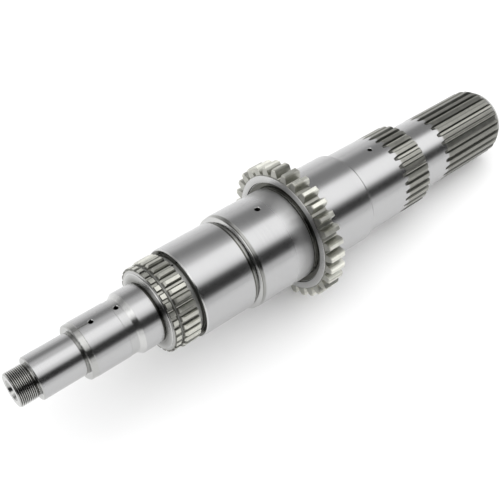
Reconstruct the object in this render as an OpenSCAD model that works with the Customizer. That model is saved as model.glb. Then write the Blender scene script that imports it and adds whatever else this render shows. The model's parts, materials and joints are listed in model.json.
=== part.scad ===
// Main shaft of a heavy gearbox, one turned, hobbed and ground piece of steel.
// The shaft is drawn upright from its threaded end and then laid down as it comes to rest:
// on two neighbouring teeth of the flange and on the rim of the splined rear end.

/* [Threaded end] */
// Outer diameter of the locknut thread
thread_d = 30; // [24:1:36]
// Length of the thread, chamfer included
thread_len = 16; // [10:0.5:24]
// Chamfer at the front edge of the thread
thread_chamfer = 1.2; // [0.6:0.1:1.6]
// Width of the run-out groove behind the thread
thread_groove = 1.5; // [1:0.1:3]
// Depth of that groove below the thread's outer surface
thread_groove_depth = 1.1; // [0.5:0.1:1.6]

/* [Front journals] */
// Diameter of the pilot journal
pilot_d = 38; // [36:0.5:42]
// Length of the pilot journal, face to face
pilot_len = 39.7; // [30:0.1:60]
// Diameter of the front journal
front_d = 50; // [46:0.5:52]
// Length of the unground lead-in at the start of the front journal
front_lead_len = 4.6; // [2:0.1:8]
// Length of the ground seat of the front journal
front_len = 31.4; // [24:0.1:50]
// Length of the shallow relief behind that seat
front_relief_len = 7.7; // [6:0.1:12]
// Diameter of the step journal
step_d = 56; // [54:0.5:60]
// Length of the cone that leads up to the step journal
step_cone_len = 4.4; // [2:0.1:8]
// Length of the ground step journal
step_len = 17.6; // [10:0.1:30]

/* [Front splines] */
// Number of teeth on the two splined rings
ring_teeth = 30; // [24:1:36]
// Diameter of the rim around the face in front of the rings
bevel_d = 70.4; // [66:0.2:74]
// Distance by which that face slopes back on its way out to the rim
face_slope_len = 1.7; // [0.5:0.1:2.5]
// Height of the rim
rim_len = 0.6; // [0.2:0.1:1]
// Length of the flat bevel that leads from the rim up to the narrow ring
bevel_len = 0.7; // [0.4:0.1:3]
// Outer diameter of the narrow splined ring
narrow_d = 79; // [78:0.5:80]
// Width of the narrow splined ring
narrow_len = 4.6; // [3:0.1:8]
// Width of the snap ring groove between the two rings
snap_len = 3.2; // [1.5:0.1:4]
// Diameter at the bottom of the snap ring groove
snap_d = 74.4; // [73.5:0.1:74.8]
// Outer diameter of the wide splined ring
wide_d = 81.5; // [79.5:0.5:83]
// Width of the wide splined ring
wide_len = 16.7; // [10:0.1:30]
// Chamfer on the front corners of the wide ring's teeth
wide_chamfer = 2.2; // [1:0.1:2.6]
// Diameter at the bottom of the front splines
ring_root_d = 75.2; // [75:0.1:75.8]
// Width of the oil groove behind the wide ring
oil_groove_len = 4.9; // [3:0.1:8]
// Diameter at the bottom of the oil groove
oil_groove_d = 72.6; // [70:0.1:74.4]
// Angle from the underside of the shaft to a tooth space of the rings
ring_phase = 4.5; // [0:0.5:12]

/* [Gear seats] */
// Diameter of the first gear seat
seat1_d = 84; // [83:0.5:86]
// Length of the first gear seat
seat1_len = 52.5; // [40:0.1:70]
// Width of the groove between the gear seats
mid_groove_len = 3.4; // [2:0.1:6]
// Diameter at the bottom of that groove
mid_groove_d = 82; // [79:0.5:82.5]
// Diameter of the second gear seat
seat2_d = 91; // [90:0.5:95]
// Length of the steep chamfer in front of the second gear seat
seat2_chamfer_len = 1.4; // [0.8:0.1:3]
// Length of the unground lead-in behind that chamfer
seat2_lead_len = 1.9; // [1:0.1:4]
// Length of the slight cone from the lead-in up to the seat
seat2_cone_len = 2.3; // [1:0.1:5]
// Length of the ground seat itself
seat2_len = 55.5; // [40:0.1:70]

/* [Toothed flange] */
// Number of teeth on the flange
flange_teeth = 31; // [26:1:36]
// Diameter over the teeth
flange_d = 132; // [128:1:138]
// Pressure angle of the teeth
flange_pressure = 20; // [17:0.5:23]
// Width of the teeth
flange_len = 16.8; // [12:0.1:24]
// Share of the pitch that the tooth space takes
flange_space = 0.48; // [0.44:0.01:0.52]
// Diameter at the bottom of the tooth spaces
flange_root_d = 115; // [114.8:0.2:117]
// Outer diameter of the ground thrust land in front
land_d = 114.4; // [110:0.2:114.6]
// Inner diameter of the ground thrust land
land_bore_d = 101.8; // [98:0.2:104]
// Distance by which the land stands in front of the teeth
land_rise = 0.6; // [0.2:0.1:1.5]
// Depth of the recess inside the land
land_recess = 1.2; // [0.6:0.1:2]
// Chamfer on the front edge of the teeth
tooth_front_chamfer = 0.6; // [0.2:0.1:1.5]
// Chamfer on the rear edge of the teeth
tooth_rear_chamfer = 1.4; // [0.2:0.1:2]

/* [Rear journals] */
// Diameter of the rear journal, next to the flange
rear_d = 90; // [88:0.5:94]
// Length of the rear journal, its undercut included
rear_len = 57; // [40:0.1:80]
// Length of the cone down to the hub journal
hub_cone_len = 3.5; // [2:0.1:10]
// Diameter of the hub journal and of the hub spline
hub_d = 83.5; // [80:0.5:86]
// Length of the plain hub journal, measured to the points of the spline's run-out
hub_plain_len = 45; // [30:0.1:60]
// Length of the hub spline with its run-out
hub_spline_len = 36; // [24:0.1:60]
// Number of teeth on the hub spline
hub_teeth = 30; // [24:1:36]
// Angle from the underside of the shaft to a tooth space of the hub spline
hub_phase = 8; // [0:0.5:12]
// Chamfer on the rear corners of the hub spline
hub_chamfer = 1.8; // [0.5:0.1:2.6]
// Diameter of the drive journal and of the drive spline
drive_d = 70; // [66:0.5:74]
// Length of the plain drive journal, measured to the points of the spline's run-out
drive_plain_len = 31; // [20:0.1:50]
// Length of the drive spline with its run-out and rear chamfer
drive_spline_len = 91.5; // [60:0.1:120]
// Number of teeth on the drive spline
drive_teeth = 24; // [20:1:28]
// Angle from the underside of the shaft to a tooth space of the drive spline
drive_phase = 5; // [5:0.5:10]
// Length of the chamfer at the rear end
end_chamfer_len = 9.5; // [4:0.1:14]
// Diameter of the rear end face
end_d = 60.6; // [50:0.2:62]

/* [Spline form] */
// Depth of the rear splines
spline_depth = 2.9; // [2:0.1:3.4]
// Share of the pitch that a spline's tooth space takes at half depth
spline_space = 0.48; // [0.36:0.01:0.5]
// Slope of a spline tooth's flank
spline_flank = 25; // [18:1:32]
// Radius of the hob that leaves the run-outs
hob_r = 16; // [14:0.5:30]

/* [Oil way] */
// Diameter of the oil gallery along the axis
gallery_d = 9; // [6:0.5:11]
// Depth of the oil gallery, its pointed bottom left out
gallery_len = 394; // [390:1:420]
// Diameter of the countersink at the mouth of the gallery
gallery_mouth_d = 18; // [13:0.5:20]
// Angle from the top of the shaft to the row of oil holes
hole_turn = 10.8; // [0:0.1:30]
// Diameter of the two front feed holes
feed_d = 4; // [2:0.1:5]
// Distance of the first feed hole behind the face of the front journal
feed1_offset = 17.4; // [12:0.1:24]
// Diameter of the small hole in the oil groove
weep_d = 2.2; // [1:0.1:2.8]
// Diameter of the hole in the second gear seat
seat_hole_d = 5; // [3:0.1:6]
// Distance of that hole behind the front of the second gear seat
seat_hole_offset = 28; // [10:0.1:40]
// Diameter of the hole in the hub journal
hub_hole_d = 4.5; // [3:0.1:6]
// Distance of that hole in front of the run-out points of the hub spline
hub_hole_offset = 12.1; // [6:0.1:24]
// Width of the slit that feeds the front lead-in
slit_w = 1.1; // [0.6:0.1:2]
// Depth of that slit
slit_depth = 0.9; // [0.4:0.1:2]
// Diameter of the centre hole in the rear end
centre_d = 6.3; // [3:0.1:10]
// Depth of that centre hole
centre_len = 14; // [8:0.5:30]

/* [Edges] */
// Chamfer on the edges of journals
edge = 0.8; // [0.3:0.1:0.9]
// Depth of the undercuts beside ground faces
undercut = 0.5; // [0.2:0.05:0.6]
// Height by which a ground seat stands above the turned surface beside it
grind = 0.3; // [0.1:0.05:0.35]
// Width of those undercuts
undercut_len = 1; // [0.6:0.1:1.4]
// Chamfer around the oil holes
hole_edge = 0.6; // [0.2:0.1:0.8]

/* [Hidden] */
steel = "#a9aaa6";
// Clearance by which a cutting shape stands out of the body
over = 1;
// Fineness of round cuts and turned surfaces
fine = 96;
// Fineness of the corners at the bottom of a tooth space
corner_steps = 2;
// Points along one flank of a flange tooth
flank_steps = 4;
// Rounding at the bottom of a flange tooth space
root_fillet = 0.5;

// Positions along the axis, from the threaded face backwards
pilot_s = thread_len + thread_groove;
front_s = pilot_s + pilot_len;
front_seat_s = front_s + edge + front_lead_len;
front_relief_s = front_seat_s + front_len;
step_cone_s = front_relief_s + front_relief_len;
step_s = step_cone_s + step_cone_len;
bevel_s = step_s + step_len + undercut_len;
rim_s = bevel_s + face_slope_len;
ring_s = rim_s + rim_len + bevel_len;
snap_s = ring_s + narrow_len;
wide_s = snap_s + snap_len;
oil_groove_s = wide_s + wide_len;
seat1_face_s = oil_groove_s + oil_groove_len;
mid_groove_s = seat1_face_s + seat1_len;
seat2_face_s = mid_groove_s + mid_groove_len;
seat2_lead_s = seat2_face_s + seat2_chamfer_len;
seat2_cone_s = seat2_lead_s + seat2_lead_len;
seat2_s = seat2_cone_s + seat2_cone_len;
seat2_end_s = seat2_s + seat2_len;
land_s = seat2_end_s + 2 * undercut_len;
tooth_s = land_s + land_rise;
flange_end_s = tooth_s + flange_len;
rear_end_s = flange_end_s + rear_len;
hub_s = rear_end_s + hub_cone_len;
hub_spline_s = hub_s + hub_plain_len;
drive_s = hub_spline_s + hub_spline_len;
drive_spline_s = drive_s + drive_plain_len;
end_s = drive_spline_s + drive_spline_len;
end_chamfer_s = end_s - end_chamfer_len;

// Positions of the radial oil holes, as distance along the axis, diameter of the hole, diameter of the seat
feed2_s = front_relief_s + front_relief_len / 2 + 0.2;
oil_holes = [
    [front_s + feed1_offset, feed_d, front_d],
    [feed2_s, feed_d, front_d - 2 * grind],
    [seat1_face_s - oil_groove_len / 2, weep_d, oil_groove_d],
    [seat2_s + seat_hole_offset, seat_hole_d, seat2_d],
    [hub_spline_s - hub_hole_offset, hub_hole_d, hub_d],
];

// Flange tooth: the pitch circle is where the tooth's module times its number of teeth lies
flange_module = flange_d / (flange_teeth + 2);
pitch_r = flange_module * flange_teeth / 2;
base_r = pitch_r * cos(flange_pressure);
function involute(a) = tan(a) * 180 / PI - a;
function roll(r) = r > base_r ? acos(base_r / r) : 0;
// Half the angle of the flange's tooth space at a radius
function space_half(r) = flange_space * 180 / flange_teeth + involute(roll(r)) - involute(flange_pressure);

// Resting pose: the rear edge of two flange teeth and one tooth of the drive spline touch the ground
touch_flange_s = flange_end_s - tooth_rear_chamfer;
touch_flange_z = flange_d / 2 * cos(space_half(flange_d / 2));
tilt = atan((touch_flange_z - drive_d / 2) / (end_chamfer_s - touch_flange_s));
lift = touch_flange_s * sin(tilt) + touch_flange_z * cos(tilt);
front_x = -(thread_d / 2 - thread_chamfer) * sin(tilt);
rear_x = end_s * cos(tilt) + end_d / 2 * sin(tilt);

// Half outline of the front end up to the splined rings, as [radius, distance along the axis]
function front_outline() = [
    [0, 0],
    [thread_d / 2 - thread_chamfer, 0],
    [thread_d / 2, thread_chamfer],
    [thread_d / 2, thread_len - thread_groove_depth],
    [thread_d / 2 - thread_groove_depth, thread_len],
    [thread_d / 2 - thread_groove_depth, pilot_s],
    [pilot_d / 2 - edge, pilot_s],
    [pilot_d / 2, pilot_s + edge],
    [pilot_d / 2, front_s - undercut_len - undercut],
    [pilot_d / 2 - undercut, front_s - undercut_len],
    [pilot_d / 2 - undercut, front_s],
    [front_d / 2 - edge - grind, front_s],
    [front_d / 2 - grind, front_s + edge],
    [front_d / 2 - grind, front_seat_s],
    [front_d / 2, front_seat_s + grind],
    [front_d / 2, front_relief_s],
    [front_d / 2 - grind, front_relief_s + grind],
    [front_d / 2 - grind, step_cone_s],
    [step_d / 2, step_s],
    [step_d / 2, bevel_s - undercut_len],
    [step_d / 2 - undercut, bevel_s - undercut_len + undercut],
    [step_d / 2 - undercut, bevel_s],
    [bevel_d / 2 - rim_len / 2, rim_s],
    [bevel_d / 2, rim_s + rim_len / 2],
    [bevel_d / 2, rim_s + rim_len],
];

// Half outline of the splined rings and the two gear seats
function seat_outline() = [
    [narrow_d / 2, ring_s],
    [narrow_d / 2, snap_s],
    [snap_d / 2, snap_s],
    [snap_d / 2, wide_s],
    [wide_d / 2 - wide_chamfer, wide_s],
    [wide_d / 2, wide_s + wide_chamfer],
    [wide_d / 2, oil_groove_s - edge],
    [wide_d / 2 - edge, oil_groove_s],
    [oil_groove_d / 2, oil_groove_s],
    [oil_groove_d / 2, seat1_face_s],
    [seat1_d / 2 - edge, seat1_face_s],
    [seat1_d / 2, seat1_face_s + edge],
    [seat1_d / 2, mid_groove_s - grind],
    [seat1_d / 2 - grind, mid_groove_s],
    [mid_groove_d / 2, mid_groove_s],
    [mid_groove_d / 2, seat2_face_s],
    [seat2_d / 2 - 2 * grind, seat2_lead_s],
    [seat2_d / 2 - 2 * grind, seat2_cone_s],
    [seat2_d / 2, seat2_s],
    [seat2_d / 2, seat2_end_s],
    [seat2_d / 2 - undercut, seat2_end_s + undercut],
    [seat2_d / 2 - undercut, land_s + land_recess],
];

// Half outline of the flange and the rear end
function rear_outline() = [
    [land_bore_d / 2 - land_recess / 2, land_s + land_recess],
    [land_bore_d / 2, land_s],
    [land_d / 2 - land_rise / 2, land_s],
    [land_d / 2, land_s + land_rise / 2],
    [land_d / 2, tooth_s],
    [flange_d / 2 - tooth_front_chamfer, tooth_s],
    [flange_d / 2, tooth_s + tooth_front_chamfer],
    [flange_d / 2, touch_flange_s],
    [flange_d / 2 - tooth_rear_chamfer, flange_end_s],
    [rear_d / 2 - undercut, flange_end_s],
    [rear_d / 2 - undercut, flange_end_s + undercut_len],
    [rear_d / 2, flange_end_s + undercut_len + undercut],
    [rear_d / 2, rear_end_s],
    [hub_d / 2, hub_s],
    [hub_d / 2, drive_s - hub_chamfer],
    [hub_d / 2 - hub_chamfer, drive_s],
    [drive_d / 2 - undercut, drive_s],
    [drive_d / 2 - undercut, drive_s + undercut_len],
    [drive_d / 2, drive_s + undercut_len + undercut],
    [drive_d / 2, end_chamfer_s],
    [end_d / 2, end_s],
    [0, end_s],
];

// Half an outline joined with its mirror image
function both_sides(side) = concat(side, [for (i = [len(side) - 1:-1:0]) [side[i][0], -side[i][1]]]);

// Tooth space of a spline, as [radius, distance across], with rounded corners at its bottom
function spline_space_shape(r_out, r_root, z) =
    let (slope = tan(spline_flank),
         mid_r = (r_out + r_root) / 2,
         mid_w = PI * mid_r / z * spline_space,
         corner = (r_out - r_root) / 4,
         corner_w = mid_w - (mid_r - r_root - corner) * slope,
         side = [for (i = [0:corner_steps])
             let (a = 90 * i / corner_steps)
             [r_root + corner * (1 - cos(a)), corner_w - corner * (1 - sin(a))]],
         top = [r_out + over, mid_w + (r_out + over - mid_r) * slope])
    both_sides(concat(side, [top]));

// Tooth space of the flange, with involute flanks above the base circle and straight ones below it
function flange_space_shape() =
    let (r_root = flange_root_d / 2,
         r_top = flange_d / 2 + over,
         bottom = space_half(base_r),
         flank = [for (i = [0:flank_steps])
             let (r = base_r + (r_top - base_r) * i / flank_steps)
             [r, space_half(r)]],
         side = concat([[r_root, bottom * 0.6], [r_root + root_fillet, bottom * 0.95]], flank))
    both_sides([for (p = side) [p[0] * cos(p[1]), p[0] * sin(p[1])]]);

// A ring of equal cuts around the axis
module around(count, phase) {
    for (i = [0:count - 1])
        rotate([0, 0, phase + i * 360 / count])
            children();
}

// Straight tooth space from one position along the axis to another
module straight_space(shape, from_s, to_s) {
    translate([0, 0, from_s])
        linear_extrude(height = to_s - from_s)
            polygon(shape);
}

// Tooth space with the round run-out that the hob leaves in front of it
module hobbed_space(r_out, z, tip_s, to_s) {
    r_root = r_out - spline_depth;
    shape = spline_space_shape(r_out, r_root, z);
    full_s = tip_s + sqrt(hob_r * hob_r - (hob_r - spline_depth) * (hob_r - spline_depth));
    sweep = acos((hob_r - spline_depth - over) / hob_r) + 6;
    straight_space(shape, full_s, to_s);
    translate([r_root + hob_r, 0, full_s])
        rotate([-90, 0, 0])
            rotate_extrude(angle = sweep, start = 180 - sweep, $fn = fine)
                polygon([for (p = shape) [r_root + hob_r - p[0], p[1]]]);
}

// The turned blank
module turned_body() {
    rotate_extrude($fn = fine)
        polygon(concat(front_outline(), seat_outline(), rear_outline()));
}

// Oil gallery along the axis, with its countersunk mouth and pointed bottom
module gallery() {
    mouth_len = (gallery_mouth_d - gallery_d) / 2 / tan(30);
    rotate_extrude($fn = fine)
        polygon([
            [0, -over],
            [gallery_mouth_d / 2 + over * tan(30), -over],
            [gallery_d / 2, mouth_len],
            [gallery_d / 2, gallery_len],
            [0, gallery_len + gallery_d / 2 / tan(59)],
        ]);
}

// One radial oil hole on the upper side, from the gallery to the seat, with a chamfered mouth
module oil_hole(s, d, seat_d) {
    translate([0, 0, s])
        rotate([0, -90, -hole_turn])
            rotate_extrude($fn = fine)
                polygon([
                    [0, 0],
                    [d / 2, 0],
                    [d / 2, seat_d / 2 - hole_edge],
                    [d / 2 + hole_edge + over, seat_d / 2 + over],
                    [0, seat_d / 2 + over],
                ]);
}

// Slit along the top of the front journal, from its face to the first feed hole
module slit() {
    rotate([0, 0, -hole_turn])
        translate([-front_d / 2 - over, -slit_w / 2, front_s - over])
            cube([over + slit_depth, slit_w, feed1_offset + over]);
}

// Centre hole in the rear end, with a countersink
module centre_hole() {
    rotate_extrude($fn = fine)
        polygon([
            [0, end_s - centre_len],
            [centre_d / 2, end_s - centre_len + centre_d / 4],
            [centre_d / 2, end_s - centre_d / 2 / tan(30)],
            [centre_d + over * tan(30), end_s + over],
            [0, end_s + over],
        ]);
}

// The whole shaft, upright on its threaded face
module upright_shaft() {
    difference() {
        turned_body();
        gallery();
        centre_hole();
        slit();
        for (h = oil_holes)
            oil_hole(h[0], h[1], h[2]);
        around(ring_teeth, ring_phase)
            straight_space(spline_space_shape(wide_d / 2, ring_root_d / 2, ring_teeth),
                           ring_s - over, seat1_face_s - oil_groove_len / 2);
        around(flange_teeth, 0)
            straight_space(flange_space_shape(), land_s - over, flange_end_s + over);
        around(hub_teeth, hub_phase)
            hobbed_space(hub_d / 2, hub_teeth, hub_spline_s, drive_s + over);
        around(drive_teeth, drive_phase)
            hobbed_space(drive_d / 2, drive_teeth, drive_spline_s, end_s + over);
    }
}

// The shaft at rest, with the middle of its underside at the origin
module shaft() {
    color(steel)
        translate([-(front_x + rear_x) / 2, 0, lift])
            rotate([0, 90 + tilt, 0])
                upright_shaft();
}

shaft();
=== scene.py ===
"""Looks of a gearbox main shaft: ground journals, hobbed teeth and a cut locknut thread, under a
studio tent.

Lengths are in millimetres where a name ends in _mm, and in metres elsewhere. The shaft has its own
axes: ALONG runs to the splined rear end, UPWARD is square to it, and AWAY points from the camera to
the far side. Stations are measured along it from the threaded end face.
"""

import functools
import json
import math

import bpy
import bmesh
import numpy as np
from mathutils import Matrix


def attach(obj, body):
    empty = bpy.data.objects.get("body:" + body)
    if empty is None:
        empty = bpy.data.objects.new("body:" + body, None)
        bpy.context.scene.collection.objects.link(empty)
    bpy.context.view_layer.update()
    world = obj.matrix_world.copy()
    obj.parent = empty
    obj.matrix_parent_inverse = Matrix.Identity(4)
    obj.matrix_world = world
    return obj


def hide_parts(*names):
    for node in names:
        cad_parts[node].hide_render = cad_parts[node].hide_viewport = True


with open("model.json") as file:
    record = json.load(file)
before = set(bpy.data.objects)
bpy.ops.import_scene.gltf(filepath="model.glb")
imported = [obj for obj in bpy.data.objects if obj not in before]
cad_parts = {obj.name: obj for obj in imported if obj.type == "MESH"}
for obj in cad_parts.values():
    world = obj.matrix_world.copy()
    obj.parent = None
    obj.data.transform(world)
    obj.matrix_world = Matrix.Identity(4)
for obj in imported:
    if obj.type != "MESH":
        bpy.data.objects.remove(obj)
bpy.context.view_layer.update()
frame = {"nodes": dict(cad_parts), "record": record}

MM = 0.001
mounts = {m["name"]: m for m in frame["record"]["mounts"]}

# Points closer together than WELD are one, and a station within ON_STATION of an edge lies on it
WELD = 1e-6
ON_STATION = 1e-5

# The locknut thread, an M30 x 1.5, and the plain cylinder that stands for it in the solids
THREAD_R_mm = mounts["thread"]["dims"]["r_mm"]
THREAD_PITCH_mm = 1.5
THREAD_DEPTH_mm = 0.92
THREAD_FACE_CHAMFER_mm = 1.2
THREAD_CYLINDER_mm = mounts["thread"]["dims"]["length_mm"]
THREAD_END_CHAMFER_mm = 1.1
THREAD_LENGTH_mm = THREAD_FACE_CHAMFER_mm + THREAD_CYLINDER_mm + THREAD_END_CHAMFER_mm
# Flat crest, and both flanks together, as shares of a pitch
THREAD_CREST = 0.14
THREAD_FLANKS = 0.68
THREAD_STATIONS = 214
THREAD_ANGLES = 180
# Radius of the stub under the thread's sleeve, and the radius of the sleeve's inner wall and its
# distance from the rims
THREAD_STUB_mm = 13.5
THREAD_WALL_mm = 13.3
THREAD_INSET_mm = 0.4
# Edges of the sleeve that turn by more than this, its rims, stay sharp
THREAD_SHARP_ANGLE = math.radians(75)
# A face whose normal leans round the axis by less than this was turned
TURNED_LEAN = 0.1

# The shaft's own axes, from the mount at its front end
ALONG = -np.array(mounts["thread"]["axis"])
AWAY = np.array([0.0, 1.0, 0.0])
UPWARD = np.cross(ALONG, AWAY)
THREAD_MIDDLE_mm = THREAD_FACE_CHAMFER_mm + THREAD_CYLINDER_mm / 2
FRONT = np.array(mounts["thread"]["pos_m"]) - ALONG * MM * THREAD_MIDDLE_mm

# The camera stands beside and a little before the threaded end, and looks down by 56 degrees
CAMERA_STATION_mm = 239.0
CAMERA_BACK_mm = 347.17
CAMERA_OUT_mm = 653.51
CAMERA_SIDE_mm = -1.11
CAMERA_TURN = math.radians(28.03)
CAMERA_DIP = math.radians(27.98)
CAMERA_ROLL = math.radians(30.27)
CAMERA_FOCAL_PX = 824.8
CAMERA_SENSOR_mm = 36.0
CAMERA_CLIP = 0.01
IMAGE_PX = 500


# Geometry


def shaft_coordinates(points):
    """Station along the shaft, radius and radial direction of each point: the part along ALONG, the
    length of what is left, and that rest divided by its length."""
    offset = points - FRONT
    station = offset @ ALONG
    radial = offset - station[..., None] * ALONG
    radius = np.linalg.norm(radial, axis=-1)
    return station, radius, radial / np.maximum(radius, 1e-9)[..., None]


def shaft_points(station_mm, radius_mm, angle):
    """Points at a station and a radius, turned by an angle from UPWARD towards AWAY."""
    direction = np.cos(angle)[..., None] * UPWARD + np.sin(angle)[..., None] * AWAY
    return FRONT + MM * (station_mm[..., None] * ALONG + radius_mm[..., None] * direction)


def closed_sleeve(name, grid):
    """A closed ring of quads through a grid of points: the second index goes once round the axis,
    the first runs out over the sleeve and back inside it, and both join their own starts. Its two
    rims stay sharp."""
    rows, columns = grid.shape[:2]
    index = np.arange(rows * columns).reshape(rows, columns)
    ahead, beside = np.roll(index, -1, axis=0), np.roll(index, -1, axis=1)
    across = np.roll(ahead, -1, axis=1)
    quads = np.stack([index, ahead, across, beside], axis=-1).reshape(-1, 4)
    mesh = bpy.data.meshes.new(name)
    mesh.from_pydata(grid.reshape(-1, 3), [], quads.tolist())
    mesh.polygons.foreach_set("use_smooth", np.ones(len(quads), dtype=bool))
    mesh.set_sharp_from_angle(angle=THREAD_SHARP_ANGLE)
    mesh.update()
    return mesh


def piece(name, mesh, material):
    """A new piece of the shaft, which stands for the plain solid."""
    made = bpy.data.objects.new(name, mesh)
    bpy.context.scene.collection.objects.link(made)
    mesh.materials.clear()
    mesh.materials.append(material)
    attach(made, "root")
    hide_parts("shaft")


def thread_radius_mm(station_mm, angle):
    """Radius of the thread: a wave of straight 60 degree flanks that climbs one pitch a turn, cut
    off flat at its crests and roots, and never above the two chamfers at its ends."""
    turn = station_mm / THREAD_PITCH_mm - angle / (2 * np.pi)
    wave = np.abs(2 * (turn - np.floor(turn)) - 1)
    groove = np.clip((wave - THREAD_CREST) / THREAD_FLANKS, 0, 1) * THREAD_DEPTH_mm
    front = THREAD_R_mm - THREAD_FACE_CHAMFER_mm + station_mm
    back = THREAD_R_mm - THREAD_END_CHAMFER_mm + (THREAD_LENGTH_mm - station_mm)
    return np.minimum(THREAD_R_mm - groove, np.minimum(front, back))


def thread_mesh():
    """The thread as a thin sleeve on the shaft: its surface on a grid of stations by angles, and an
    inner wall of one radius that lies within the steel, from THREAD_INSET_mm behind the one rim to
    as much before the other."""
    outside_mm = np.linspace(0, THREAD_LENGTH_mm, THREAD_STATIONS)
    inside_mm = [THREAD_LENGTH_mm - THREAD_INSET_mm, THREAD_INSET_mm]
    turned = np.linspace(0, 2 * np.pi, THREAD_ANGLES, endpoint=False)
    station_mm, angle = np.meshgrid(np.append(outside_mm, inside_mm), turned, indexing="ij")
    radius_mm = thread_radius_mm(station_mm, angle)
    radius_mm[-len(inside_mm) :] = THREAD_WALL_mm
    return closed_sleeve("shaft_thread", shaft_points(station_mm, radius_mm, angle))


def body_mesh(node):
    """A copy of the solid's surface whose plain thread cylinder is drawn in to a stub, each point
    by what its radius is over the stub's, so that the thread's sleeve takes its place."""
    mesh = node.data.copy()
    work = bmesh.new()
    work.from_mesh(mesh)
    bmesh.ops.remove_doubles(work, verts=work.verts, dist=WELD)
    work.to_mesh(mesh)
    work.free()
    points = np.empty(len(mesh.vertices) * 3)
    mesh.vertices.foreach_get("co", points)
    points = points.reshape(-1, 3)
    station, radius, outward = shaft_coordinates(points)
    threaded = (station > ON_STATION) & (station < MM * THREAD_LENGTH_mm - ON_STATION)
    excess = np.maximum(radius - MM * THREAD_STUB_mm, 0.0)
    points -= np.where(threaded, excess, 0.0)[:, None] * outward
    mesh.vertices.foreach_set("co", points.ravel())
    mesh.update()
    mesh.name = "shaft_body"
    return mesh


def give_turned_normals(mesh):
    """Gives each turned face the normals of its cone: its own slope along the axis, and straight
    out from the axis at each corner. A face whose normal leans round the axis is a tooth's flank
    or a hole's wall, and keeps a flat one."""
    corners = len(mesh.loops)
    vertex = np.empty(corners, dtype=np.int32)
    mesh.loops.foreach_get("vertex_index", vertex)
    points = np.empty(len(mesh.vertices) * 3)
    mesh.vertices.foreach_get("co", points)
    points = points.reshape(-1, 3)
    faces = len(mesh.polygons)
    normal = np.empty(faces * 3)
    mesh.polygons.foreach_get("normal", normal)
    normal = normal.reshape(-1, 3)
    sides = np.empty(faces, dtype=np.int32)
    mesh.polygons.foreach_get("loop_total", sides)
    face = np.repeat(np.arange(faces), sides)
    starts = np.concatenate([[0], np.cumsum(sides)[:-1]])
    centre = np.add.reduceat(points[vertex], starts, axis=0) / sides[:, None]
    _, _, outward = shaft_coordinates(centre)
    around = np.cross(ALONG, outward)
    slope = normal @ ALONG
    side = np.sign(np.sum(normal * outward, axis=1))
    turned = np.abs(np.sum(normal * around, axis=1)) < TURNED_LEAN
    _, _, corner_out = shaft_coordinates(points[vertex])
    steep = np.sqrt(np.clip(1 - slope**2, 0, 1)) * side
    cone = slope[face][:, None] * ALONG + steep[face][:, None] * corner_out
    corner_normal = np.where(turned[face][:, None], cone, normal[face])
    mesh.polygons.foreach_set("use_smooth", np.ones(faces, dtype=bool))
    mesh.normals_split_custom_set(corner_normal.tolist())


# Shader maths


class Socket:
    """A node's output that can be used in sums, and adds a Math node for each."""

    def __init__(self, tree, link):
        self.tree, self.link = tree, link

    def maths(self, operation, *values):
        return self.tree.node("ShaderNodeMath", {"operation": operation}, values)

    def __add__(self, other):
        return self.maths("ADD", self, other)

    def __sub__(self, other):
        return self.maths("SUBTRACT", self, other)

    def __mul__(self, other):
        return self.maths("MULTIPLY", self, other)

    def __rsub__(self, other):
        return self.maths("SUBTRACT", other, self)

    def __neg__(self):
        return self.maths("MULTIPLY", self, -1)

    __radd__ = __add__
    __rmul__ = __mul__

    def most(self, other):
        return self.maths("MAXIMUM", self, other)


class Tree:
    """A node tree with one method that makes any node."""

    def __init__(self, tree):
        self.tree = tree
        tree.nodes.clear()

    def node(self, kind, settings=None, sockets=(), output=0):
        """Makes a node, gives it its settings first and then its sockets by number or name, and
        returns an output."""
        made = self.tree.nodes.new(kind)
        for name, value in (settings or {}).items():
            setattr(made, name, value)
        pairs = sockets.items() if isinstance(sockets, dict) else enumerate(sockets)
        for name, value in pairs:
            if isinstance(value, Socket):
                self.tree.links.new(value.link, made.inputs[name])
            else:
                made.inputs[name].default_value = value
        return Socket(self, made.outputs[output]) if made.outputs else made

    def ramp(self, value, low, high):
        """A smooth step of a value from 0 at low to 1 at high."""
        settings = {"interpolation_type": "SMOOTHSTEP"}
        sockets = {0: value, 1: low, 2: high, 3: 0.0, 4: 1.0}
        return self.node("ShaderNodeMapRange", settings, sockets)

    def band(self, value, low, high, soft):
        """1 between low and high and 0 outside, with both edges soft."""
        over = self.ramp(value, high - soft, high + soft)
        return self.ramp(value, low - soft, low + soft) * (1 - over)

    def vector_maths(self, operation, *values, output="Vector"):
        sockets = dict(enumerate(values))
        return self.node("ShaderNodeVectorMath", {"operation": operation}, sockets, output)

    def dot(self, vector, direction):
        return self.vector_maths("DOT_PRODUCT", vector, tuple(direction), output="Value")

    def vector(self, x, y, z):
        return self.node("ShaderNodeCombineXYZ", {}, (x, y, z))

    def noise(self, vector, scale=1.0, detail=3.0):
        sockets = {"Vector": vector, "Scale": scale, "Detail": detail}
        return self.node("ShaderNodeTexNoise", {}, sockets)

    def colours(self, factor, first, second):
        """The first colour where the factor is 0 and the second where it is 1."""
        sockets = {0: factor, 6: first, 7: second}
        return self.node("ShaderNodeMix", {"data_type": "RGBA"}, sockets, 2)


def most_of(masks):
    """The highest of some masks at each place."""
    return functools.reduce(Socket.most, masks)


def towards(start, goal, share):
    """A value a share of the way from start to goal."""
    return start + (goal - start) * share


def varied(noise, amount, middle=0.5):
    """A noise as a change of a value, by up to half an amount each way."""
    return (noise - middle) * amount


def new_material(name):
    material = bpy.data.materials.new(name)
    material.use_nodes = True
    return material, Tree(material.node_tree)


# Steel


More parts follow.
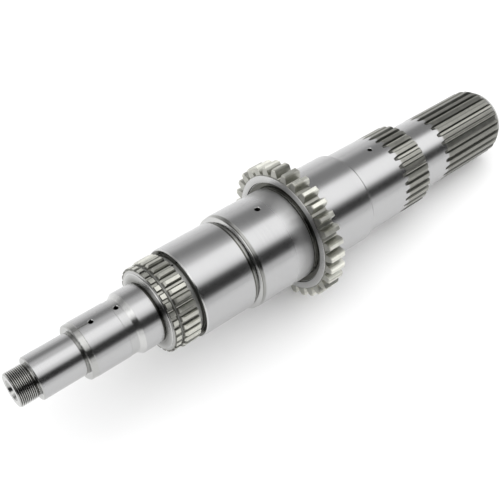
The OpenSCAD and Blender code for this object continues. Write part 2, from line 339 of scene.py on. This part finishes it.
GROUND_BRIGHT = (0.475, 0.475, 0.478, 1)
GROUND_DULL = (0.43, 0.43, 0.432, 1)
TURNED_LIGHT = (0.50, 0.50, 0.493, 1)
TURNED_DARK = (0.40, 0.401, 0.39, 1)
# Painted highlight for chamfers, cones and the thread's crests
PAINTED_HIGHLIGHT = (0.55, 0.55, 0.543, 1)
# Painted shade for grooves, corners, faces, the thread's roots and the gallery's throat
PAINTED_SHADE = (0.10, 0.10, 0.088, 1)
FURNACE_TINT = (1.0, 1.0, 0.91)

# Noise cells in a millimetre along the shaft, and across it where there are two: the tool's lines,
# the wheel's fine lines and the film on the seats
LINES_per_mm = 3.0
FINE_LINES_per_mm = (14.0, 0.12)
FILM_per_mm = (0.04, 0.06)
# Noise cells in a metre: the grain of the teeth's skin, and the mottling of all that isn't ground
SKIN_per_m = 900.0
MOTTLE_per_m = 160.0
# The level of the tool's lines at which the steel has its darker colour, and how much the lines and
# the mottling change the colour of turned steel, and the lines that of ground steel
LINES_DARK = 0.3
TURNED_BY_LINES, TURNED_BY_MOTTLE = 1.2, 0.6
GROUND_BY_LINES = 1.6

# A ground seat ends softly at its edges, and from the first to the second depth below its radius
SEAT_EDGE_mm = 0.25
SEAT_DEPTH_mm = (0.22, 0.10)
# Narrow reliefs beside the seats that were ground with them: first and last station and least
# radius, the width over which they fade in, and how ground they look
RELIEFS_mm = ((93.6, 101.6, 24.4), (268.0, 273.6, 44.9))
RELIEF_EDGE_mm = 0.3
RELIEF_FADE_mm = 0.2
RELIEF_SHARE = 0.7

# The toothed lengths: first and last station, the station where the teeth's tops leave the ground
# seat, the radii at the bottom of the spaces and at the tops, and how much light the bottoms, the
# flanks and the tops give back. These levels are partly the skin's own tone and partly painted
# shade: the darkest of them, on the flanks or down at the bottoms, is shade painted into the spaces
TOOTHED_mm = {
    "rings": (127.0, 153.6, 124.0, 37.6, 39.4, 0.36, 0.17, 0.52),
    "flange": (275.6, 294.6, 272.0, 57.4, 65.0, 0.28, 0.42, 0.62),
    "hub": (398.0, 436.0, 403.5, 38.85, 41.6, 0.37, 0.14, 0.28),
    "drive": (465.0, 558.0, 470.0, 32.1, 34.85, 0.31, 0.12, 0.22),
}
# The shares of a tooth's height where its bottom turns into flank and its flank into top
TOOTH_FOOT = 0.12
TOOTH_TOP = 0.2
# How softly the lengths begin and end, how far under the bottoms the skin fades, and how far before
# and after its station a top does
TOOTH_EDGE_mm = 0.2
TOOTH_DEPTH_mm = (0.5, 0.2)
TOOTH_TOPS_FADE_mm = (1.0, 2.5)
# How much the mottling and the grain change the skin's light
PATCH_MOTTLE = 0.5
PATCH_SKIN = 0.3

# Grooves and corners with painted shade: middle, half width, and the radius they stay below
SHADED_CORNERS_mm = (
    (124.1, 0.9, 29.4),
    (133.3, 0.9, 37.5),
    (157.1, 0.25, 41.1),
    (156.6, 0.3, 37.3),
    (210.5, 1.0, 41.4),
    (215.6, 0.4, 45.4),
    (275.0, 0.6, 45.4),
    (277.3, 0.3, 50.0),
    (294.0, 0.8, 44.8),
    (435.7, 0.8, 34.8),
)
SHADED_CORNERS_EDGE_mm = 0.3
# Faces and groove bottoms with a lighter painted shade that ends at a radius: first and last
# station, the radii between which it fades, and how much of the steel it covers
THIN_SHADE_mm = (
    (152.4, 157.0, 37.2, 37.4, 0.1),
    (211.6, 213.0, 41.4, 41.6, 0.45),
    (215.9, 218.2, 45.3, 45.5, 0.4),
    (123.4, 126.5, 28.5, 34.5, 0.75),
    (132.4, 135.4, 37.4, 37.6, 0.45),
    (275.9, 276.3, 45.4, 56.0, 0.6),
    (17.3, 17.7, 14.5, 18.5, 0.5),
)
THIN_SHADE_EDGE_mm = 0.2
# No painted shade below these radii, in the oil ways
UNSHADED_BELOW_mm = (12.0, 12.6)
# The thread's length with painted shade in its roots, the radii between which that dark shade ends,
# and those where it begins
THREAD_SHADED_mm = (0.8, 16.5)
THREAD_SHADED_EDGE_mm = 0.2
THREAD_ROOT_mm = (14.15, 14.7)
THREAD_UNSHADED_BELOW_mm = (12.4, 13.2)
# Painted shade in the throat of the oil gallery: first and last station, the radii between which it
# fades, and how dark it is
THROAT_mm = (-1.0, 9.0)
THROAT_EDGE_mm = 0.5
THROAT_FADE_mm = (4.8, 6.6)
THROAT_SHARE = 0.8

# Chamfers, cones and the thread's crests with a painted highlight, a lighter colour: middle, half
# width, and the radii they lie between
HIGHLIGHTED_mm = (
    (103.9, 2.2, 24.5, 28.5),
    (126.7, 0.4, 34.0, 35.4),
    (157.7, 0.5, 40.5, 42.2),
    (213.7, 0.7, 41.5, 45.2),
    (276.1, 0.2, 45.0, 57.2),
    (8.0, 8.0, 14.75, 15.2),
)
HIGHLIGHTED_EDGE_mm = 0.15
# Bottoms of the wide grooves, left as rough as the tool cut them: middle, half width and the radius
# they stay below
ROUGH_mm = ((133.8, 1.6, 38.0), (154.7, 2.6, 37.6), (275.0, 1.0, 45.3))
ROUGH_EDGE_mm = 0.2
# How gradually the limits in radius of the oil, the fresh cuts and the rough bottoms come in
RADIUS_EDGE_mm = 0.1

# Roughness of each finish, and how much the noise changes it
GROUND_ROUGHNESS = (0.22, 0.08)
TURNED_ROUGHNESS = (0.18, 0.10)
TEETH_ROUGHNESS = (0.34, 0.16)
CUT_ROUGHNESS = 0.5
# The seat gets rougher towards the flange, as far as the thrust land's face
SEAT_BY_FLANGE_mm = (250.0, 268.0)
SEAT_BY_FLANGE_END_mm = (276.0, 277.0)
SEAT_BY_FLANGE_ROUGHNESS = 0.22

# End faces turned in the lathe, whose rings stand higher than the lines on the seats: middle and
# half width, and how many times higher
FACES_mm = ((0.0, 0.12), (125.5, 0.9), (276.1, 0.15), (276.7, 0.1))
FACES_EDGE_mm = 0.02
FACES_HEIGHT = 20.0
# Heights of the fine lines, of the lines taken off the teeth and of the teeth's grain, with the
# tool's lines as 1, and that 1 in metres
FINE_LINES_HEIGHT = 0.4
TEETH_LINES_LOST = 0.7
SKIN_HEIGHT = 0.8
LINES_HEIGHT = 2.4e-6


def seat_mask(tree, station, radius):
    """1 on the ground seats, which are the record's pins but for the thread, and their reliefs."""
    masks = []
    for mount in mounts.values():
        if mount["kind"] != "pin" or mount["name"] == "thread":
            continue
        middle = float((np.array(mount["pos_m"]) - FRONT) @ ALONG) / MM
        half, r_mm = mount["dims"]["length_mm"] / 2, mount["dims"]["r_mm"]
        deep = tree.ramp(radius, r_mm - SEAT_DEPTH_mm[0], r_mm - SEAT_DEPTH_mm[1])
        masks.append(tree.band(station, middle - half, middle + half, SEAT_EDGE_mm) * deep)
    for first, last, least in RELIEFS_mm:
        deep = tree.ramp(radius, least, least + RELIEF_FADE_mm)
        masks.append(tree.band(station, first, last, RELIEF_EDGE_mm) * deep * RELIEF_SHARE)
    return most_of(masks)


def teeth_skin_and_shade(tree, station, radius, patch, colour):
    """Lays the furnace skin of each toothed length over a colour, with painted shade in it that
    darkens the flanks or the bottoms of the spaces, and returns it and the mask of all teeth: 1
    from just under the bottoms of the spaces out, but for the tops' ground first part."""
    masks = []
    for first, last, tops_first, bottom, top, *lights in TOOTHED_mm.values():
        height = top - bottom
        flank = tree.ramp(radius, bottom, bottom + TOOTH_FOOT * height)
        summit = tree.ramp(radius, top - TOOTH_TOP * height, top)
        before, after = TOOTH_TOPS_FADE_mm
        still_ground = 1 - tree.ramp(station, tops_first - before, tops_first + after)
        deep = tree.ramp(radius, bottom - TOOTH_DEPTH_mm[0], bottom - TOOTH_DEPTH_mm[1])
        mask = tree.band(station, first, last, TOOTH_EDGE_mm) * deep * (1 - summit * still_ground)
        # The level changes with height over each tooth, which paints shade into the spaces and onto
        # the flanks
        floor_light, flank_light, top_light = lights
        light = floor_light + (flank_light - floor_light) * flank
        light = (light + (top_light - flank_light) * summit) * patch
        tinted = tree.vector(*[light * share for share in FURNACE_TINT])
        colour = tree.colours(mask, colour, tinted)
        masks.append(mask)
    return colour, most_of(masks)


def below_mask(tree, station, radius, places, edge):
    """1 at each place, given by its middle, its half width and the radius it stays below."""
    return most_of(
        tree.band(station, middle - half, middle + half, edge)
        * (1 - tree.ramp(radius, limit - RADIUS_EDGE_mm, limit + RADIUS_EDGE_mm))
        for middle, half, limit in places
    )


def painted_shade_mask(tree, station, radius):
    """How much painted shade covers the steel: in the grooves and corners, thinner on some faces,
    in the thread's roots, and in the gallery's throat."""
    shade_cover = [below_mask(tree, station, radius, SHADED_CORNERS_mm, SHADED_CORNERS_EDGE_mm)]
    for first, last, inner, outer, share in THIN_SHADE_mm:
        film = tree.band(station, first, last, THIN_SHADE_EDGE_mm)
        shade_cover.append(film * (1 - tree.ramp(radius, inner, outer)) * share)
    shade_cover = most_of(shade_cover) * tree.ramp(radius, *UNSHADED_BELOW_mm)
    root = tree.band(station, *THREAD_SHADED_mm, THREAD_SHADED_EDGE_mm)
    root = root * (1 - tree.ramp(radius, *THREAD_ROOT_mm))
    throat = tree.band(station, *THROAT_mm, THROAT_EDGE_mm)
    throat = throat * (1 - tree.ramp(radius, *THROAT_FADE_mm)) * THROAT_SHARE
    return most_of([shade_cover, root * tree.ramp(radius, *THREAD_UNSHADED_BELOW_mm), throat])


def shaft_steel():
    """One bar of steel in three finishes. The seats are ground bright. What was only turned stays
    grey. The teeth keep the greenish skin of the furnace, with shade painted in that makes most of
    their flanks blackest. Chamfers, cones and the thread's crests carry a painted highlight, and
    grooves, corners, faces, the thread's roots and the gallery's throat painted shade. Fine lines
    run round the axis everywhere."""
    material, tree = new_material("shaft_steel")
    point = tree.node("ShaderNodeTexCoord", output="Object")
    place = tree.vector_maths("SUBTRACT", point, tuple(FRONT))
    station = tree.dot(place, ALONG / MM)
    high = tree.dot(place, UPWARD / MM)
    side = tree.dot(place, AWAY / MM)
    radius = tree.vector_maths("LENGTH", tree.vector(high, side, 0.0), output="Value")

    lines = tree.noise(tree.vector(station * LINES_per_mm, radius * LINES_per_mm, 0.0))
    across, around = FINE_LINES_per_mm
    fine_place = tree.vector(station * across, radius * across, side * around)
    fine_lines = tree.noise(fine_place, detail=1.0)
    across, around = FILM_per_mm
    film = tree.noise(tree.vector(station * across, high * around, side * around))
    skin = tree.noise(place, SKIN_per_m)
    mottle = tree.noise(place, MOTTLE_per_m)

    turned = varied(lines, TURNED_BY_LINES, LINES_DARK) + varied(mottle, TURNED_BY_MOTTLE)
    colour = tree.colours(turned, TURNED_DARK, TURNED_LIGHT)
    patch = 1.0 + varied(mottle, PATCH_MOTTLE) + varied(skin, PATCH_SKIN)
    colour, teeth = teeth_skin_and_shade(tree, station, radius, patch, colour)
    ground = seat_mask(tree, station, radius) * (1 - teeth)
    bright = varied(lines, GROUND_BY_LINES, LINES_DARK)
    bright = tree.colours(bright, GROUND_DULL, GROUND_BRIGHT)
    colour = tree.colours(ground, colour, bright)
    # Painted highlight: a lighter colour on chamfers, cones and the thread's crests
    highlighted = most_of(
        tree.band(station, middle - half, middle + half, HIGHLIGHTED_EDGE_mm)
        * tree.band(radius, least, most, RADIUS_EDGE_mm)
        for middle, half, least, most in HIGHLIGHTED_mm
    )
    colour = tree.colours(highlighted, colour, PAINTED_HIGHLIGHT)
    # Painted shade in the grooves, corners, faces, thread roots and the gallery's throat
    colour = tree.colours(painted_shade_mask(tree, station, radius), colour, PAINTED_SHADE)

    by_flange = tree.ramp(station, *SEAT_BY_FLANGE_mm)
    by_flange = by_flange * (1 - tree.ramp(station, *SEAT_BY_FLANGE_END_mm))
    rough_ground = GROUND_ROUGHNESS[0] + varied(film, GROUND_ROUGHNESS[1])
    rough_ground = rough_ground + by_flange * SEAT_BY_FLANGE_ROUGHNESS
    rough_turned = TURNED_ROUGHNESS[0] + varied(mottle, TURNED_ROUGHNESS[1])
    rough_teeth = TEETH_ROUGHNESS[0] + varied(mottle, TEETH_ROUGHNESS[1])
    roughness = towards(rough_turned, rough_teeth, teeth)
    roughness = towards(roughness, rough_ground, ground)
    rough_cut = below_mask(tree, station, radius, ROUGH_mm, ROUGH_EDGE_mm)
    roughness = towards(roughness, CUT_ROUGHNESS, rough_cut)

    faces = most_of(
        tree.band(station, middle - half, middle + half, FACES_EDGE_mm) for middle, half in FACES_mm
    )
    line_height = 1 - teeth * TEETH_LINES_LOST + faces * FACES_HEIGHT
    height = (fine_lines * FINE_LINES_HEIGHT + lines) * line_height + skin * teeth * SKIN_HEIGHT
    relief = {"Strength": 1.0, "Distance": LINES_HEIGHT, "Height": height}
    bump = tree.node("ShaderNodeBump", {}, relief)
    steel = {"Base Color": colour, "Metallic": 1.0, "Roughness": roughness, "Normal": bump}
    surface = tree.node("ShaderNodeBsdfPrincipled", {}, steel)
    tree.node("ShaderNodeOutputMaterial", {}, {"Surface": surface})
    return material


# Studio


TENT_RADIUS = 2.0
TENT_START, TENT_END = -4.5, 6.0
TENT_STRIPS = 121
SOFTBOX_STRENGTH = 1.76
WALL_STRENGTH = 1.0
FRONT_STRENGTH = 0.12
BACK_CEILING_STRENGTH = 0.38
FLAG_STRENGTH = 0.03
# Leans in degrees from straight up, positive on the camera's side, between which each part of the
# tent begins and between which it ends
SOFTBOX_deg = ((-22, -9), (15, 45))
FLAG_deg = ((32, 44), (68, 80))
BACK_deg = ((-83, -57), (-42, -18))
# Along the tent the cloths' edges turn by up to this much each way between two places, the
# softbox's and the back ceiling's first edge by a share of it
TURN_FROM, TURN_TO = 0.7, 1.4
TURN_deg = 12.0
SOFTBOX_TURN = 0.6
BACK_TURN = 0.25
# Before the first of two places the softbox and the flag hang nearer the top, by this much
FORE = (-0.6, 0.2)
FORE_SOFTBOX_deg = 14
FORE_FLAG_deg = 18
# The dark front sheet ends between these distances from the tent's start
FRONT_SHEET = (0.01, 0.3)


def studio_tent():
    """A half tube of cloth round the shaft, seen by reflections alone: a bright softbox above, a
    grey ceiling on the far side, a black flag on the camera's side, white walls near the floor, and
    a dark sheet across its front end."""
    half_turn = np.linspace(-0.5 * np.pi, 0.5 * np.pi, TENT_STRIPS)
    station, lean = np.meshgrid([TENT_START, TENT_END], half_turn, indexing="ij")
    grid = np.stack([station, TENT_RADIUS * np.sin(lean), TENT_RADIUS * np.cos(lean)], axis=-1)
    index = np.arange(station.size).reshape(station.shape)
    corners = [index[:-1, :-1], index[:-1, 1:], index[1:, 1:], index[1:, :-1]]
    quads = np.stack(corners, axis=-1).reshape(-1, 4)
    mesh = bpy.data.meshes.new("studio_tent")
    mesh.from_pydata(grid.reshape(-1, 3), [], quads.tolist() + [index[0].tolist()])
    tent = bpy.data.objects.new("studio_tent", mesh)
    bpy.context.scene.collection.objects.link(tent)

    material, tree = new_material("tent_cloth")
    place = tree.node("ShaderNodeTexCoord", output="Object")
    x, y, z = (tree.dot(place, axis) for axis in np.eye(3))
    lean_deg = y.maths("ARCTAN2", -y, z) * math.degrees(1)
    sockets = {0: x, 1: TURN_FROM, 2: TURN_TO, 3: -TURN_deg, 4: TURN_deg}
    turn = tree.node("ShaderNodeMapRange", {}, sockets)
    fore = 1 - tree.ramp(x, *FORE)
    begins, ends = SOFTBOX_deg
    softbox_end = lean_deg - turn * SOFTBOX_TURN + fore * FORE_SOFTBOX_deg
    softbox = tree.ramp(lean_deg, *begins) * (1 - tree.ramp(softbox_end, *ends))
    begins, ends = FLAG_deg
    flag_start = lean_deg + fore * FORE_FLAG_deg
    flag = tree.ramp(flag_start, *begins) * (1 - tree.ramp(lean_deg, *ends))
    begins, ends = BACK_deg
    back_start = lean_deg - turn * BACK_TURN
    back = tree.ramp(back_start, *begins) * (1 - tree.ramp(lean_deg - turn, *ends))
    front = 1 - tree.ramp(x, TENT_START + FRONT_SHEET[0], TENT_START + FRONT_SHEET[1])

    strength = WALL_STRENGTH - back * (WALL_STRENGTH - BACK_CEILING_STRENGTH)
    strength = strength - flag * (WALL_STRENGTH - FLAG_STRENGTH)
    strength = towards(strength, SOFTBOX_STRENGTH, softbox)
    strength = towards(strength, FRONT_STRENGTH, front)
    cloth = tree.node("ShaderNodeEmission", {}, {"Color": strength, "Strength": 1.0})
    tree.node("ShaderNodeOutputMaterial", {}, {"Surface": cloth})
    mesh.materials.append(material)
    tent.visible_camera = tent.visible_diffuse = tent.visible_shadow = False
    tent.visible_transmission = False


FLOOR_REACH = 12.0
FLOOR_COLOUR = (0.94, 0.94, 0.94, 1)


def studio_floor():
    """A pale sheet that the shaft lies on, large enough to fill every view."""
    signs = ((-1, -1), (1, -1), (1, 1), (-1, 1))
    corners = [(x * FLOOR_REACH, y * FLOOR_REACH, 0) for x, y in signs]
    mesh = bpy.data.meshes.new("studio_floor")
    mesh.from_pydata(corners, [], [(0, 1, 2, 3)])
    floor = bpy.data.objects.new("studio_floor", mesh)
    bpy.context.scene.collection.objects.link(floor)
    material, tree = new_material("floor_paper")
    paper = tree.node("ShaderNodeBsdfDiffuse", {}, {"Color": FLOOR_COLOUR})
    tree.node("ShaderNodeOutputMaterial", {}, {"Surface": paper})
    mesh.materials.append(material)


LAMP_SIZE = (3.0, 2.4)
LAMP_WATTS = 24.0
LAMP_PLACE = (0.3, -0.2, 1.6)
# The room's brightness as light, and what is added where it is seen
ROOM_LIGHT = 0.84
ROOM_SEEN = 0.16


def studio_light():
    """A wide softbox above and a bright room: white where the camera or a reflection sees it,
    dimmer as light."""
    lamp = bpy.data.lights.new("softbox", "AREA")
    lamp.shape, lamp.energy = "RECTANGLE", LAMP_WATTS
    lamp.size, lamp.size_y = LAMP_SIZE
    softbox = bpy.data.objects.new("softbox", lamp)
    softbox.location = LAMP_PLACE
    softbox.visible_camera = softbox.visible_glossy = False
    bpy.context.scene.collection.objects.link(softbox)

    world = bpy.data.worlds.new("studio_room")
    bpy.context.scene.world = world
    world.use_nodes = True
    tree = Tree(world.node_tree)
    rays = ("Is Camera Ray", "Is Glossy Ray", "Is Transmission Ray")
    seen = most_of(tree.node("ShaderNodeLightPath", output=ray) for ray in rays)
    room = {"Color": (1, 1, 1, 1), "Strength": ROOM_LIGHT + seen * ROOM_SEEN}
    background = tree.node("ShaderNodeBackground", {}, room)
    tree.node("ShaderNodeOutputWorld", {}, {"Surface": background})


def camera():
    """The camera, placed in the shaft's own axes from its distance back, out and to the side of one
    station."""
    outward = math.cos(CAMERA_TURN) * UPWARD - math.sin(CAMERA_TURN) * AWAY
    downward = -math.sin(CAMERA_TURN) * UPWARD - math.cos(CAMERA_TURN) * AWAY
    spot_mm = (CAMERA_STATION_mm - CAMERA_BACK_mm) * ALONG
    spot_mm = spot_mm + CAMERA_OUT_mm * outward + CAMERA_SIDE_mm * downward
    forward = math.sin(CAMERA_DIP) * ALONG - math.cos(CAMERA_DIP) * outward
    level = math.cos(CAMERA_DIP) * ALONG + math.sin(CAMERA_DIP) * outward
    right = math.cos(CAMERA_ROLL) * level + math.sin(CAMERA_ROLL) * downward
    up = math.sin(CAMERA_ROLL) * level - math.cos(CAMERA_ROLL) * downward
    lens = bpy.data.cameras.new("camera")
    lens.sensor_width = CAMERA_SENSOR_mm
    lens.lens = CAMERA_FOCAL_PX / IMAGE_PX * lens.sensor_width
    lens.clip_start = CAMERA_CLIP
    made = bpy.data.objects.new("camera", lens)
    turned = Matrix((right, up, -forward)).transposed().to_4x4()
    made.matrix_world = Matrix.Translation(FRONT + MM * spot_mm) @ turned
    bpy.context.scene.collection.objects.link(made)
    bpy.context.scene.camera = made


camera()
steel = shaft_steel()
body = body_mesh(frame["nodes"]["shaft"])
give_turned_normals(body)
piece("shaft_body", body, steel)
piece("shaft_thread", thread_mesh(), steel)
studio_floor()
studio_tent()
studio_light()
bpy.context.scene.view_settings.view_transform = "Standard"
